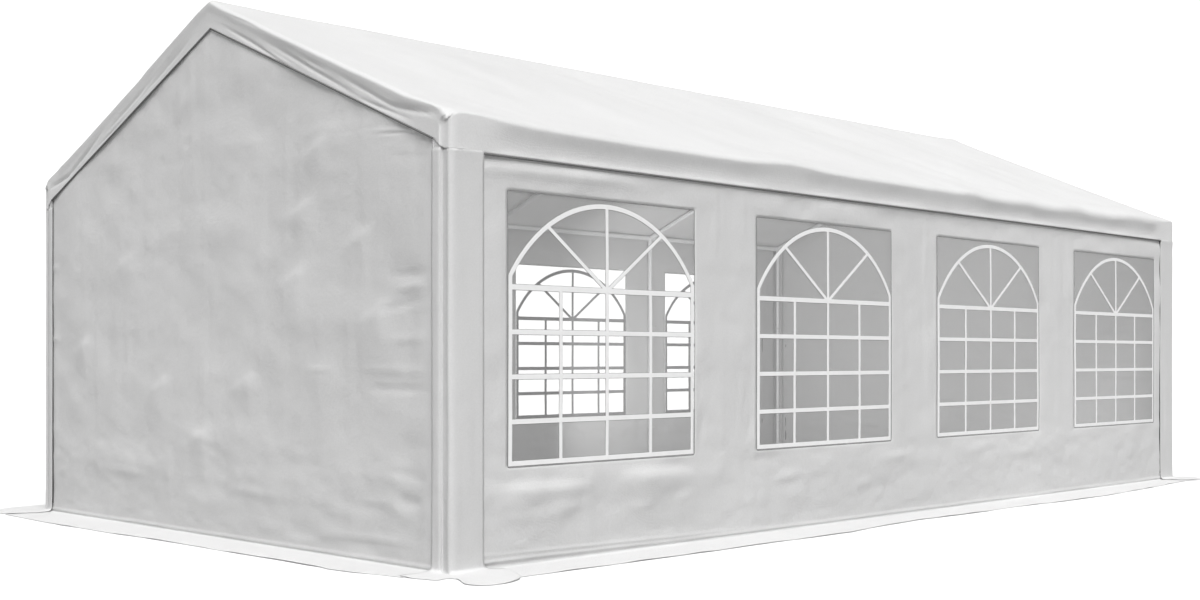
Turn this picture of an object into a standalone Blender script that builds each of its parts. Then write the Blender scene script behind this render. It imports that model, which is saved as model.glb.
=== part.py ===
"""Marquee tent, four bays long: a galvanised tube frame with a fabric roof, walls and windows.

X runs along the tent, Y across it and Z up. The origin is on the ground in the middle.
Front is -Y, left is -X.
"""
import math

import bmesh
import bpy
from mathutils import Vector

# Outside of the walls
BAYS = 4
WALL_LENGTH = 8.18
WALL_WIDTH = 4.08
FABRIC = 0.004

# Roof cover, measured over its outer face
EAVE_HEIGHT = 2.165
RIDGE_HEIGHT = 3.043
EAVE_OVERHANG = 0.030
GABLE_OVERHANG = 0.025
ROOF_FABRIC = 0.005
VALANCE_DEPTH = 0.162

# Windows, one in each bay of both long walls
WINDOW_PITCH = 2.0
WINDOW_WIDTH = 1.435
WINDOW_BOTTOM = 0.486
WINDOW_TOP = 1.842
PANE_THICKNESS = 0.002

# Ground skirt and the sleeves that wrap the corner legs
SKIRT_WIDTH = 0.33
SLEEVE_PROUD = 0.010
SLEEVE_ON_LONG_WALL = 0.215
SLEEVE_ON_GABLE = 0.110
SLEEVE_TOP_BELOW_EAVE = 0.030
SLEEVE_CORNER_RADIUS = 0.030
FLAP_RADIUS = 0.34
FLAP_SEGMENTS = 16

# Steel frame
TUBE_RADIUS = 0.019
SOCKET_RADIUS = 0.0215
SOCKET_REACH = 0.13
FOOT_PLATE = 0.10
FOOT_PLATE_THICKNESS = 0.004
TUBE_SIDES = 16

# Faces that touch keep this gap
GAP = 0.0003
# Cutters run past the faces that they cut by this much
PAST = 0.05

# Worked out from the sizes above
HALF_LENGTH = WALL_LENGTH / 2
HALF_WIDTH = WALL_WIDTH / 2
ROOF_HALF_LENGTH = HALF_LENGTH + GABLE_OVERHANG
ROOF_HALF_WIDTH = HALF_WIDTH + EAVE_OVERHANG
PITCH = math.atan((RIDGE_HEIGHT - EAVE_HEIGHT) / ROOF_HALF_WIDTH)
LEG_X = HALF_LENGTH - FABRIC - GAP - SOCKET_RADIUS
LEG_Y = HALF_WIDTH - FABRIC - GAP - SOCKET_RADIUS
FRAME_STEP = 2 * LEG_X / BAYS
RIDGE_AXIS_HEIGHT = RIDGE_HEIGHT - (ROOF_FABRIC + GAP + SOCKET_RADIUS) / math.cos(PITCH)
EAVE_AXIS_HEIGHT = RIDGE_AXIS_HEIGHT - LEG_Y * math.tan(PITCH)

STEEL = ("galvanised_steel", (0.56, 0.57, 0.58), 0.42, 1.0, 1.0)
ROOF_CLOTH = ("roof_fabric", (0.86, 0.86, 0.85), 0.60, 0.0, 1.0)
WALL_CLOTH = ("wall_fabric", (0.78, 0.78, 0.78), 0.65, 0.0, 1.0)
WINDOW_FILM = ("window_film", (0.72, 0.74, 0.75), 0.15, 0.0, 0.35)


def clear_scene():
    """Take out what the start-up file holds."""
    for thing in list(bpy.data.objects):
        bpy.data.objects.remove(thing, do_unlink=True)


def material(name, colour, roughness, metallic, alpha):
    """The material of that name, made when it is first asked for."""
    found = bpy.data.materials.get(name)
    if found:
        return found
    made = bpy.data.materials.new(name)
    made.use_nodes = True
    shader = made.node_tree.nodes["Principled BSDF"]
    shader.inputs["Base Color"].default_value = (*colour, 1.0)
    shader.inputs["Roughness"].default_value = roughness
    shader.inputs["Metallic"].default_value = metallic
    shader.inputs["Alpha"].default_value = alpha
    return made


def place(name, bm, finish):
    """Turn the mesh into a named object with its material."""
    bmesh.ops.recalc_face_normals(bm, faces=bm.faces)
    mesh = bpy.data.meshes.new(name)
    bm.to_mesh(mesh)
    bm.free()
    made = bpy.data.objects.new(name, mesh)
    bpy.context.scene.collection.objects.link(made)
    mesh.materials.append(material(*finish))
    return made


def guide(made):
    """Mark a solid that only cuts or extends another one."""
    made.hide_render = True
    made.display_type = "WIRE"
    return made


def combine(target, other, operation):
    """Join the other solid to the target, or cut it away."""
    step = target.modifiers.new(operation.lower(), "BOOLEAN")
    step.operation = operation
    step.solver = "EXACT"
    step.object = guide(other)


def prism(name, outline, move, finish):
    """A flat outline of 3-D points, extruded by the vector move."""
    bm = bmesh.new()
    face = bm.faces.new([bm.verts.new(point) for point in outline])
    grown = bmesh.ops.extrude_face_region(bm, geom=[face])
    corners = [item for item in grown["geom"] if isinstance(item, bmesh.types.BMVert)]
    bmesh.ops.translate(bm, verts=corners, vec=move)
    return place(name, bm, finish)


def block(name, low, high, finish):
    """An upright box between two corners."""
    outline = [
        (low[0], low[1], low[2]),
        (high[0], low[1], low[2]),
        (high[0], high[1], low[2]),
        (low[0], high[1], low[2]),
    ]
    return prism(name, outline, (0, 0, high[2] - low[2]), finish)


def tube(name, points, radius, finish):
    """A round bar through the points, mitred where it turns."""
    points = [Vector(point) for point in points]
    steps = [(after - before).normalized() for before, after in zip(points, points[1:])]
    across = steps[0].cross(Vector((0.0, 0.0, 1.0)))
    if across.length < 0.001:
        across = Vector((1.0, 0.0, 0.0))
    across.normalize()
    other = steps[0].cross(across)
    bm = bmesh.new()
    rings = []
    corners = []
    for side in range(TUBE_SIDES):
        angle = math.tau * side / TUBE_SIDES
        corners.append(points[0] + radius * (math.cos(angle) * across + math.sin(angle) * other))
    rings.append([bm.verts.new(corner) for corner in corners])
    for index, step in enumerate(steps):
        plane = step + steps[min(index + 1, len(steps) - 1)]
        end = points[index + 1]
        corners = [corner + step * ((end - corner).dot(plane) / step.dot(plane)) for corner in corners]
        rings.append([bm.verts.new(corner) for corner in corners])
    for ring, following in zip(rings, rings[1:]):
        for side in range(TUBE_SIDES):
            beside = (side + 1) % TUBE_SIDES
            bm.faces.new((ring[side], ring[beside], following[beside], following[side]))
    bm.faces.new(rings[0])
    bm.faces.new(rings[-1])
    made = place(name, bm, finish)
    made.data.shade_smooth()
    made.data.set_sharp_from_angle(angle=math.radians(40))
    return made


def frame_x(number):
    """Where frame 0 to BAYS stands along the tent."""
    return -LEG_X + number * FRAME_STEP


def leg(name, x, side):
    """An upright tube on a foot plate, which is set inwards, clear of the wall."""
    y = side * LEG_Y
    top = EAVE_AXIS_HEIGHT - SOCKET_REACH - GAP
    post = tube(name, [(x, y, FOOT_PLATE_THICKNESS / 2), (x, y, top)], TUBE_RADIUS, STEEL)
    inset = FOOT_PLATE / 2 - SOCKET_RADIUS
    plate_y = y - side * inset
    at_end = abs(abs(x) - LEG_X) < GAP
    plate_x = x - math.copysign(inset, x) if at_end else x
    half = FOOT_PLATE / 2
    plate = block(
        name + "_plate",
        (plate_x - half, plate_y - half, 0.0),
        (plate_x + half, plate_y + half, FOOT_PLATE_THICKNESS),
        STEEL,
    )
    combine(post, plate, "UNION")
    return post


def roof_frame(number):
    """A pair of rafters with the sockets at the ridge and at both eaves."""
    x = frame_x(number)
    name = f"roof_frame_{number + 1}"
    ridge = Vector((x, 0.0, RIDGE_AXIS_HEIGHT))
    front = Vector((x, -LEG_Y, EAVE_AXIS_HEIGHT))
    back = Vector((x, LEG_Y, EAVE_AXIS_HEIGHT))
    pair = tube(name, [front, ridge, back], TUBE_RADIUS, STEEL)
    to_front = (front - ridge).normalized() * SOCKET_REACH
    to_back = (back - ridge).normalized() * SOCKET_REACH
    down = Vector((0.0, 0.0, -SOCKET_REACH))
    sockets = {
        "ridge": [ridge + to_front, ridge, ridge + to_back],
        "eave_front": [front + down, front, front - to_front],
        "eave_back": [back + down, back, back - to_back],
    }
    low_x = x if number == 0 else x - SOCKET_REACH
    high_x = x if number == BAYS else x + SOCKET_REACH
    for label, node in (("ridge", ridge), ("eave_front", front), ("eave_back", back)):
        arm = [(low_x, node.y, node.z), (high_x, node.y, node.z)]
        sockets[label + "_arm"] = arm
    for label, route in sockets.items():
        combine(pair, tube(f"{name}_{label}", route, SOCKET_RADIUS, STEEL), "UNION")
    return pair


def purlin(name, bay, y, height):
    """A tube from one frame's socket to the next."""
    start = frame_x(bay) + SOCKET_REACH + GAP
    end = frame_x(bay + 1) - SOCKET_REACH - GAP
    return tube(name, [(start, y, height), (end, y, height)], TUBE_RADIUS, STEEL)


def steel():
    """Legs, roof frames and purlins."""
    for number in range(BAYS + 1):
        leg(f"leg_front_{number + 1}", frame_x(number), -1)
        leg(f"leg_back_{number + 1}", frame_x(number), 1)
        roof_frame(number)
    for bay in range(BAYS):
        purlin(f"eave_purlin_front_{bay + 1}", bay, -LEG_Y, EAVE_AXIS_HEIGHT)
        purlin(f"eave_purlin_back_{bay + 1}", bay, LEG_Y, EAVE_AXIS_HEIGHT)
        purlin(f"ridge_purlin_{bay + 1}", bay, 0.0, RIDGE_AXIS_HEIGHT)


def gable_outline(x, half_width, bottom, eave, ridge):
    """The five corners of a gable-shaped section at x."""
    return [
        (x, -half_width, bottom),
        (x, half_width, bottom),
        (x, half_width, eave),
        (x, 0.0, ridge),
        (x, -half_width, eave),
    ]


def roof_cover():
    """Both slopes and the valance that hangs from their four edges, as one cover."""
    bottom = EAVE_HEIGHT - VALANCE_DEPTH
    outer = gable_outline(-ROOF_HALF_LENGTH, ROOF_HALF_WIDTH, bottom, EAVE_HEIGHT, RIDGE_HEIGHT)
    cover = prism("roof_cover", outer, (2 * ROOF_HALF_LENGTH, 0, 0), ROOF_CLOTH)

    inner_half = ROOF_HALF_WIDTH - ROOF_FABRIC
    inner_ridge = RIDGE_HEIGHT - ROOF_FABRIC / math.cos(PITCH)
    inner_eave = inner_ridge - inner_half * math.tan(PITCH)
    inner_x = ROOF_HALF_LENGTH - ROOF_FABRIC
    space = gable_outline(-inner_x, inner_half, bottom - PAST, inner_eave, inner_ridge)
    combine(cover, prism("roof_space", space, (2 * inner_x, 0, 0), ROOF_CLOTH), "DIFFERENCE")

    past_x = ROOF_HALF_LENGTH + PAST
    below_ridge = RIDGE_HEIGHT - VALANCE_DEPTH
    below_eave = below_ridge - inner_half * math.tan(PITCH)
    ends = gable_outline(-past_x, inner_half, bottom - PAST, below_eave, below_ridge)
    combine(cover, prism("open_gables", ends, (2 * past_x, 0, 0), ROOF_CLOTH), "DIFFERENCE")


def window_x(number):
    """The middle of a wall's window 0 to BAYS - 1."""
    return (number - (BAYS - 1) / 2) * WINDOW_PITCH


def long_wall(name, pane_name, side):
    """A side wall with its ground skirt, four windows cut through it and their clear panes."""
    half = HALF_LENGTH - FABRIC - GAP
    under_roof = RIDGE_HEIGHT - ROOF_FABRIC / math.cos(PITCH) - HALF_WIDTH * math.tan(PITCH)
    faces = sorted((side * (HALF_WIDTH - FABRIC), side * HALF_WIDTH))
    skirt = sorted((side * (HALF_WIDTH - FABRIC), side * (HALF_WIDTH + SKIRT_WIDTH)))
    top = under_roof - FABRIC
    wall = block(name, (-half, faces[0], 0.0), (half, faces[1], top), WALL_CLOTH)
    flap = block(name + "_skirt", (-half, skirt[0], 0.0), (half, skirt[1], FABRIC), WALL_CLOTH)
    combine(wall, flap, "UNION")
    middle = side * (HALF_WIDTH - FABRIC / 2)
    for number in range(BAYS):
        x = window_x(number)
        half_width = WINDOW_WIDTH / 2
        cut = block(
            f"{pane_name}_{number + 1}_cut",
            (x - half_width, middle - PAST, WINDOW_BOTTOM),
            (x + half_width, middle + PAST, WINDOW_TOP),
            WALL_CLOTH,
        )
        combine(wall, cut, "DIFFERENCE")
        block(
            f"{pane_name}_{number + 1}",
            (x - half_width + GAP, middle - PANE_THICKNESS / 2, WINDOW_BOTTOM + GAP),
            (x + half_width - GAP, middle + PANE_THICKNESS / 2, WINDOW_TOP - GAP),
            WINDOW_FILM,
        )


def gable_wall(name, end):
    """An end wall up to the roof's slopes, with its ground skirt."""
    ridge = RIDGE_HEIGHT - ROOF_FABRIC / math.cos(PITCH) - FABRIC
    eave = ridge - HALF_WIDTH * math.tan(PITCH)
    inner_x = end * (HALF_LENGTH - FABRIC)
    outline = gable_outline(inner_x, HALF_WIDTH, 0.0, eave, ridge)
    wall = prism(name, outline, (end * FABRIC, 0, 0), WALL_CLOTH)
    reach = sorted((inner_x, end * (HALF_LENGTH + SKIRT_WIDTH)))
    flap = block(
        name + "_skirt",
        (reach[0], -HALF_WIDTH, 0.0),
        (reach[1], HALF_WIDTH, FABRIC),
        WALL_CLOTH,
    )
    combine(wall, flap, "UNION")


def corner_sleeve(name, end, side):
    """The strip that wraps a corner leg, with the rounded flap at its foot."""
    base = FABRIC + GAP
    face_x = HALF_LENGTH + GAP
    face_y = HALF_WIDTH + GAP
    outer_x = HALF_LENGTH + SLEEVE_PROUD
    outer_y = HALF_WIDTH + SLEEVE_PROUD
    long_edge = HALF_LENGTH - SLEEVE_ON_LONG_WALL
    gable_edge = HALF_WIDTH - SLEEVE_ON_GABLE
    radius = SLEEVE_CORNER_RADIUS
    plan = [(long_edge, face_y), (face_x, face_y), (face_x, gable_edge), (outer_x, gable_edge)]
    for step in range(5):
        angle = math.pi / 2 * step / 4
        plan.append((
            outer_x - radius + radius * math.cos(angle),
            outer_y - radius + radius * math.sin(angle),
        ))
    plan.append((long_edge, outer_y))
    height = EAVE_HEIGHT - SLEEVE_TOP_BELOW_EAVE - base
    outline = [(end * x, side * y, base) for x, y in plan]
    strip = prism(name, outline, (0, 0, height), WALL_CLOTH)

    plan = [(long_edge, face_y), (face_x, face_y), (face_x, gable_edge)]
    plan.append((HALF_LENGTH + FLAP_RADIUS, gable_edge))
    for step in range(FLAP_SEGMENTS + 1):
        angle = math.pi / 2 * step / FLAP_SEGMENTS
        plan.append((
            HALF_LENGTH + FLAP_RADIUS * math.cos(angle),
            HALF_WIDTH + FLAP_RADIUS * math.sin(angle),
        ))
    plan.append((long_edge, HALF_WIDTH + FLAP_RADIUS))
    outline = [(end * x, side * y, base) for x, y in plan]
    flap = prism(name + "_flap", outline, (0, 0, FABRIC), WALL_CLOTH)
    combine(strip, flap, "UNION")


def fabric():
    """Roof cover, walls, windows and corner sleeves."""
    roof_cover()
    long_wall("front_wall", "window_front", -1)
    long_wall("back_wall", "window_back", 1)
    gable_wall("left_gable_wall", -1)
    gable_wall("right_gable_wall", 1)
    for end, end_name in ((-1, "left"), (1, "right")):
        for side, side_name in ((-1, "front"), (1, "back")):
            corner_sleeve(f"corner_sleeve_{side_name}_{end_name}", end, side)


clear_scene()
steel()
fabric()
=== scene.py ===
import math

import bmesh
import bpy
import numpy as np
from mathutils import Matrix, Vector


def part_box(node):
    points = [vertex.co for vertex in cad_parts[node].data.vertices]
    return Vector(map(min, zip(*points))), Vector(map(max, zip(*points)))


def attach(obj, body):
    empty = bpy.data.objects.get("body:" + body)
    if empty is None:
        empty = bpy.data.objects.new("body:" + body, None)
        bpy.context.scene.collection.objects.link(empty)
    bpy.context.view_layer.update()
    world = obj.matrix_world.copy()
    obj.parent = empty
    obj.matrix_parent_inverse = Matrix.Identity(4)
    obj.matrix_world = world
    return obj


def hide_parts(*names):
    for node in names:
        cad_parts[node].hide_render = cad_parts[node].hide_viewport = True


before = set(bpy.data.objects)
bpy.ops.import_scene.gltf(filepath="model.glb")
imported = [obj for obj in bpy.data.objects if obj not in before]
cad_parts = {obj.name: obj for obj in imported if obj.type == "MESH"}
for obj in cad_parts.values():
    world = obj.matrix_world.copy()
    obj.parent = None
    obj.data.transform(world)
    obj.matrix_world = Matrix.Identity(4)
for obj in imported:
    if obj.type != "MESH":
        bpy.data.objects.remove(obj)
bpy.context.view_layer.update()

# Thickness of the cloth, of the window film and of the solids' walls, in metres
CLOTH = 0.002
FILM = 0.0006
CAD_CLOTH = 0.004

# The widest cell of the walls' grid
CELL = 0.022

# The main sizes, read from the frame
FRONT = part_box("front_wall")
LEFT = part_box("left_gable_wall")
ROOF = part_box("roof_cover")
HALF_LENGTH = CAD_CLOTH - LEFT[1].x
HALF_WIDTH = CAD_CLOTH - FRONT[1].y
WALL_TOP = FRONT[1].z
ROOF_HALF_LENGTH = ROOF[1].x
ROOF_HALF_WIDTH = ROOF[1].y
RIDGE = ROOF[1].z
VALANCE_BOTTOM = ROOF[0].z
EAVE = VALANCE_BOTTOM + 0.162
FALL = (RIDGE - EAVE) / ROOF_HALF_WIDTH
PITCH = math.atan(FALL)
SLOPE_LENGTH = math.hypot(ROOF_HALF_WIDTH, RIDGE - EAVE)

# The legs: a corner leg's solid reaches past its middle as far as the sockets do
SOCKET_RADIUS = 0.0215
LEGS = [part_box(f"leg_front_{number + 1}") for number in range(5)]
LEG_X = [LEGS[0][0].x + SOCKET_RADIUS, *[(low.x + high.x) / 2 for low, high in LEGS[1:4]]]
LEG_X.append(-LEG_X[0])
LEG_Y = -(LEGS[0][0].y + SOCKET_RADIUS)

# The sleeves: how far they stand out, and how far they reach along the long walls and gables
SLEEVE_PROUD = 0.014
SLEEVE_LONG = {-1: 0.208, 1: 0.262}
SLEEVE_GABLE = 0.112

# The valance: the height of its hem over the long walls, and its drop on the gables
HEM_HEIGHT = VALANCE_BOTTOM + 0.004
GABLE_DROP = 0.152

ALONG = Vector((1.0, 0.0, 0.0))
UP = Vector((0.0, 0.0, 1.0))

# Size of the random lattice, and the shift that keeps the numbers of its cells positive
LATTICE = 96
LATTICE_SHIFT = (40.3, 40.7)


def smooth(low, high, value):
    """0 below low, 1 above high, and an even curve between them."""
    part = np.clip((value - low) / (high - low), 0.0, 1.0)
    return part * part * (3.0 - 2.0 * part)


def bell(value, middle, width):
    """1 at the middle, falling evenly to nearly 0 two widths away."""
    return np.exp(-(((value - middle) / width) ** 2))


def lattice(s, t, size_s, size_t, seed):
    """Soft random relief from -1 to 1, with bumps of about size_s by size_t metres."""
    cells = np.random.default_rng(seed).uniform(-1.0, 1.0, (LATTICE, LATTICE))
    a, b = np.broadcast_arrays(s / size_s + LATTICE_SHIFT[0], t / size_t + LATTICE_SHIFT[1])
    i, j = np.floor(a).astype(int), np.floor(b).astype(int)
    u, v = smooth(0.0, 1.0, a - i), smooth(0.0, 1.0, b - j)
    i, j = i % (LATTICE - 1), j % (LATTICE - 1)
    low = cells[i, j] * (1 - u) + cells[i + 1, j] * u
    high = cells[i, j + 1] * (1 - u) + cells[i + 1, j + 1] * u
    return low * (1 - v) + high * v


def crease(s, t, start_s, start_t, end_s, end_t, width, height, under=1.0):
    """A soft ridge from start to end, width and height in millimetres, under times wider on its right."""
    ds, dt = end_s - start_s, end_t - start_t
    length = math.hypot(ds, dt)
    reach = ((s - start_s) * ds + (t - start_t) * dt) / length
    aside = ((s - start_s) * dt - (t - start_t) * ds) / length
    aside = np.where(aside > 0, aside / under, aside)
    taper = smooth(-0.25, 0.4, reach / length) * (1 - smooth(0.6, 1.25, reach / length))
    return height / 1000 * bell(aside, 0.0, width / 1000) * taper


def lines(breaks, step):
    """Grid lines through the break points, and no further apart than step."""
    breaks = sorted(set(round(float(point), 5) for point in breaks))
    found = [breaks[0]]
    for low, high in zip(breaks, breaks[1:]):
        count = max(1, math.ceil((high - low) / step))
        found.extend(low + (high - low) * (index + 1) / count for index in range(count))
    return np.array(found)


def curve(controls, parts):
    """A smooth curve through the control points, which may each be an array of points."""
    controls = np.array(controls, dtype=float)
    first = 2 * controls[:1] - controls[1:2]
    last = 2 * controls[-1:] - controls[-2:-1]
    ends = np.concatenate([first, controls, last])
    found = [controls[0]]
    for a, b, c, d in zip(ends, ends[1:], ends[2:], ends[3:]):
        for step in range(1, parts + 1):
            t = step / parts
            bend = (2 * a - 5 * b + 4 * c - d) * t * t + (3 * b - a - 3 * c + d) * t ** 3
            found.append(0.5 * (2 * b + (c - a) * t + bend))
    return np.array(found)


def straight(start, end, step=0.05):
    """Points of a straight path."""
    count = max(2, math.ceil(math.dist(start, end) / step) + 1)
    return np.linspace(start, end, count)


def unit(vectors):
    """Vectors of length 1."""
    return vectors / np.linalg.norm(vectors, axis=-1, keepdims=True)


def from_table(table, at):
    """The values of a table of places and values, at other places between them."""
    places, values = zip(*table)
    return np.interp(at, places, values)


def add_object(name, data):
    """A mesh, lamp or camera placed in the scene."""
    made = bpy.data.objects.new(name, data)
    bpy.context.scene.collection.objects.link(made)
    return made


def make_mesh(name, points, faces, finish):
    """An object from points and faces, smooth shaded."""
    mesh = bpy.data.meshes.new(name)
    mesh.from_pydata([tuple(point) for point in points], [], [tuple(face) for face in faces])
    mesh.validate()
    mesh.shade_smooth()
    mesh.materials.append(finish)
    return add_object(name, mesh)


def cloth_piece(name, grids, finish, away, thickness=CLOTH):
    """A sheet sewn from grids of points that share their edges; away(place) leads to its outer side.

    A grid may come with an array that says which of its cells are made.
    """
    points, faces, start = [], [], 0
    for grid in grids:
        grid, keep = grid if isinstance(grid, tuple) else (grid, ...)
        index = np.arange(start, start + grid[..., 0].size).reshape(grid.shape[:2])
        quads = np.stack([index[:-1, :-1], index[:-1, 1:], index[1:, 1:], index[1:, :-1]], axis=-1)
        faces.append(quads[keep].reshape(-1, 4))
        points.append(grid.reshape(-1, 3))
        start += index.size
    used, faces = np.unique(np.concatenate(faces), return_inverse=True)
    piece = make_mesh(name, np.concatenate(points)[used], faces.reshape(-1, 4), finish)
    work = bmesh.new()
    work.from_mesh(piece.data)
    bmesh.ops.remove_doubles(work, verts=work.verts, dist=0.0002)
    bmesh.ops.recalc_face_normals(work, faces=work.faces)
    facing = sum(face.normal.dot(away(face.calc_center_median())) * face.calc_area() for face in work.faces)
    if facing < 0:
        bmesh.ops.reverse_faces(work, faces=work.faces)
    work.to_mesh(piece.data)
    work.free()
    piece.data.shade_smooth()
    solid = piece.modifiers.new("thickness", "SOLIDIFY")
    solid.thickness = thickness
    solid.offset = -1.0
    solid.use_even_offset = False
    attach(piece, "root")
    return piece


def tube(rings, closed=False):
    """Points and faces of a tube through rings of points, which turn anticlockwise round its course."""
    count, sides = rings.shape[:2]
    faces = []
    for index in range(count if closed else count - 1):
        here, there = sides * index, sides * ((index + 1) % count)
        for corner in range(sides):
            beside = (corner + 1) % sides
            faces.append((here + corner, here + beside, there + beside, there + corner))
    if not closed:
        last = sides * (count - 1)
        faces += [range(sides - 1, -1, -1), range(last, last + sides)]
    return rings.reshape(-1, 3), faces


def joined(name, shapes, finish):
    """One object from several lists of points and faces."""
    points, faces, start = [], [], 0
    for shape_points, shape_faces in shapes:
        points.append(shape_points)
        faces += [[index + start for index in face] for face in shape_faces]
        start += len(shape_points)
    made = make_mesh(name, np.concatenate(points), faces, finish)
    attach(made, "root")
    return made


def rod(name, paths, radius, finish, sides=8):
    """One object of smooth bars, each along its own path."""
    turns = [-2 * math.pi * (corner + 0.5) / sides for corner in range(sides)]
    shapes = []
    for path in paths:
        path = np.array(path, dtype=float)
        rings = []
        for index, place in enumerate(path):
            ahead = Vector(path[min(index + 1, len(path) - 1)] - path[max(index - 1, 0)]).normalized()
            side = ahead.cross(UP)
            side = side.normalized() if side.length > 0.1 else ALONG
            rise = side.cross(ahead)
            offsets = [side * math.cos(turn) + rise * math.sin(turn) for turn in turns]
            rings.append([Vector(place) + offset * radius for offset in offsets])
        shapes.append(tube(np.array(rings)))
    return joined(name, shapes, finish)


class Nodes:
    """Short ways to build the nodes of a material or of the world."""

    def __init__(self, owner, shader="Principled BSDF", output="Material Output", place="Object"):
        owner.use_nodes = True
        self.owner = owner
        self.tree = owner.node_tree
        self.shader = self.tree.nodes[shader]
        self.output = self.tree.nodes[output]
        self.place = self.add("ShaderNodeTexCoord").outputs[place]

    def fill(self, node, inputs):
        """Set each input of a node to its value, or link it to another node's output."""
        for name, value in inputs.items():
            if isinstance(value, bpy.types.NodeSocket):
                self.tree.links.new(value, node.inputs[name])
            else:
                node.inputs[name].default_value = value

    def add(self, kind, inputs=None, **settings):
        node = self.tree.nodes.new(kind)
        for name, value in settings.items():
            setattr(node, name, value)
        self.fill(node, inputs or {})
        return node

    def noise(self, scale, detail=2.0, stretch=(1.0, 1.0, 1.0), rough=0.5):
        mapping = self.add("ShaderNodeMapping", {"Vector": self.place, "Scale": stretch})
        inputs = {"Vector": mapping.outputs["Vector"], "Scale": scale, "Detail": detail, "Roughness": rough}
        return self.add("ShaderNodeTexNoise", inputs).outputs["Fac"]

    def wave(self, scale, axis):
        inputs = {"Vector": self.place, "Scale": scale}
        return self.add("ShaderNodeTexWave", inputs, bands_direction=axis).outputs["Fac"]

    def split(self):
        """The outputs X, Y and Z of the place on the surface."""
        return self.add("ShaderNodeSeparateXYZ", {"Vector": self.place}).outputs

    def math(self, kind, first, second=0.0):
        return self.add("ShaderNodeMath", {0: first, 1: second}, operation=kind).outputs[0]

    def between(self, value, low, high):
        """A value held between two limits."""
        return self.math("MINIMUM", self.math("MAXIMUM", value, low), high)

    def total(self, *parts):
        """The sum of textures, each times its share."""
        found = None
        for value, share in parts:
            part = self.math("MULTIPLY", value, share)
            found = part if found is None else self.math("ADD", found, part)
        return found

    def ramp(self, fac, low, high, start=0.0, end=1.0, middle=None):
        node = self.add("ShaderNodeValToRGB", {"Fac": fac})
        first, last = node.color_ramp.elements
        first.position, first.color = start, (*low, 1.0)
        last.position, last.color = end, (*high, 1.0)
        if middle:
            node.color_ramp.elements.new(middle[0]).color = (*middle[1], 1.0)
        return node.outputs["Color"]

    def bump(self, height, strength, distance):
        node = self.add("ShaderNodeBump", {"Height": height, "Strength": strength, "Distance": distance})
        self.fill(self.shader, {"Normal": node.outputs["Normal"]})
        return node.outputs["Normal"]

    def blend(self, share, first, second):
        """Mix two shaders on the surface."""
        node = self.add("ShaderNodeMixShader", {0: share, 1: first.outputs[0], 2: second.outputs[0]})
        self.fill(self.output, {"Surface": node.outputs["Shader"]})

    def seen(self):
        """1 for what the picture shows directly, and 0 for the light that it throws back."""
        return self.add("ShaderNodeLightPath").outputs["Is Camera Ray"]


def grey(value, warm=0.0):
    """A near-neutral colour."""
    return (value + warm, value, value - warm)


# The cloth: scale of its weave, share of light that passes through it, and warmth of its white
WEAVE = 140.0
THROUGH = 0.24
WARMTH = 0.001

# Painted shade on the roof cloth: it darkens from this height on up the slope, by this much for each metre
ROOF_SHADE_FROM = 2.35
ROOF_SHADE_PER_METRE = 0.28

# Painted shade darkens the wall cloth below this height, and painted light makes it white where it lies on
# the ground
FOOT_SHADE_FROM = 0.46
LYING_BELOW = 0.024
LYING_OUTSIDE = 0.008
LYING_EDGE = 60.0


def cloth_material(name, shade):
    """White coated cloth: a fine weave, small creases, faint uneven tone, painted shade and painted light
    by height, and some light through it.
    """
    m = Nodes(bpy.data.materials.new(name))
    weave = m.math("MULTIPLY", m.wave(WEAVE, "X"), m.wave(WEAVE, "Z"))
    weave = m.math("ADD", weave, m.wave(WEAVE, "Y"))
    grain = m.noise(95.0, 3.0, rough=0.7)
    crumple = m.noise(9.0, 4.0, rough=0.55)
    normal = m.bump(m.total((weave, 0.12), (grain, 0.45), (crumple, 1.9)), 0.6, 0.004)
    tone = m.total((m.noise(1.3, 4.0), 0.45), (grain, 0.55))
    if name == "roof_cloth":
        # Painted shade: the cloth darkens up towards the ridge, and long soft streaks of painted shade run
        # down the slopes
        above = m.math("MINIMUM", m.math("SUBTRACT", m.split()["Z"], ROOF_SHADE_FROM), 0.35)
        tone = m.math("SUBTRACT", m.math("ADD", tone, 0.04), m.math("MULTIPLY", above, ROOF_SHADE_PER_METRE))
        streak = m.math("MULTIPLY", m.noise(3.2, 2.0, (1.0, 0.22, 0.22)), 0.34)
        tone = m.math("ADD", tone, m.math("SUBTRACT", streak, 0.17))
    tone = m.math("MULTIPLY", tone, 0.6)
    if name == "wall_cloth":
        # Painted light: the cloth that lies flat on the ground outside the walls is painted paler
        at = m.split()
        past_end = m.math("SUBTRACT", m.math("ABSOLUTE", at["X"]), HALF_LENGTH + LYING_OUTSIDE)
        past_side = m.math("SUBTRACT", m.math("ABSOLUTE", at["Y"]), HALF_WIDTH + LYING_OUTSIDE)
        outside = m.math("MULTIPLY", m.math("MAXIMUM", past_end, past_side), LYING_EDGE)
        low = m.math("MULTIPLY", m.math("SUBTRACT", LYING_BELOW, at["Z"]), LYING_EDGE)
        tone = m.math("ADD", tone, m.between(m.math("MINIMUM", low, outside), 0.0, 0.68))
        # Painted shade: the cloth darkens down towards the foot of the wall
        foot = m.math("MULTIPLY", m.math("SUBTRACT", FOOT_SHADE_FROM, at["Z"]), 0.62)
        tone = m.math("SUBTRACT", tone, m.between(foot, 0.0, 0.21))
    dark, middle, light = (grey(value, WARMTH) for value in (shade - 0.09, shade + 0.034, 0.89))
    colour = m.ramp(tone, dark, light, 0.0, 0.85, (0.432, middle))
    rough = m.ramp(m.noise(4.0, 3.0), grey(0.5), grey(0.66))
    m.fill(m.shader, {"Base Color": colour, "Roughness": rough, "Specular IOR Level": 0.35})
    m.blend(THROUGH, m.shader, m.add("ShaderNodeBsdfTranslucent", {"Color": colour, "Normal": normal}))
    return m.owner


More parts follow.
